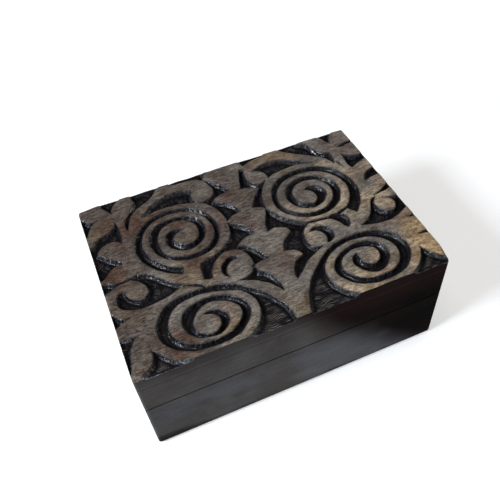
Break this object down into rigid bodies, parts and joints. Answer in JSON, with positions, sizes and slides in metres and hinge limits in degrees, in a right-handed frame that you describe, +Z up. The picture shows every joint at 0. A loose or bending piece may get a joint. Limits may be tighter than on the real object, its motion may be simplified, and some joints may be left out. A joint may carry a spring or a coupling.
{
  "type": "dice box",
  "caption": "Rectangular wooden dice box with a deep spiral-scroll carving on its lid, which swings up on rear butt hinges; felt lining inside.",
  "frame": {"origin": "on the surface the box stands on, under the middle of the closed box", "axes": "+X to the right along the long front side, +Y from the front to the hinged back, +Z up"},
  "size_m": [0.178, 0.125, 0.073],
  "materials": {
    "carved_wood": "dark stained, raised parts rubbed back to grey-brown, satin",
    "dark_wood": "near-black stain, satin lacquer",
    "floor_wood": "dark stained, matt",
    "felt": "short-nap felt",
    "brass": "aged, satin",
    "screw_brass": "aged, satin",
    "pin_steel": "dull"
  },
  "bodies": {
    "base": {"base_front_wall": "dark_wood", "base_back_wall": "dark_wood", "base_left_wall": "dark_wood", "base_right_wall": "dark_wood", "base_floor": "floor_wood", "floor_pins": "pin_steel", "base_felt": "felt", "left_hinge_base_leaf": "brass", "left_hinge_pin": "brass", "right_hinge_base_leaf": "brass", "right_hinge_pin": "brass", "hinge_base_screws": "screw_brass"},
    "lid": {"lid_front_rail": "dark_wood", "lid_back_rail": "dark_wood", "lid_left_rail": "dark_wood", "lid_right_rail": "dark_wood", "lid_carved_panel": "carved_wood", "lid_felt": "felt", "left_hinge_lid_leaf": "brass", "right_hinge_lid_leaf": "brass", "hinge_lid_screws": "screw_brass"}
  },
  "joints": [
    {"name": "lid_hinge", "type": "hinge", "parent": "base", "child": "lid", "pos_m": [0, 0.06015, 0.0415], "axis": [-1, 0, 0], "range_deg": [0, 98]}
  ]
}
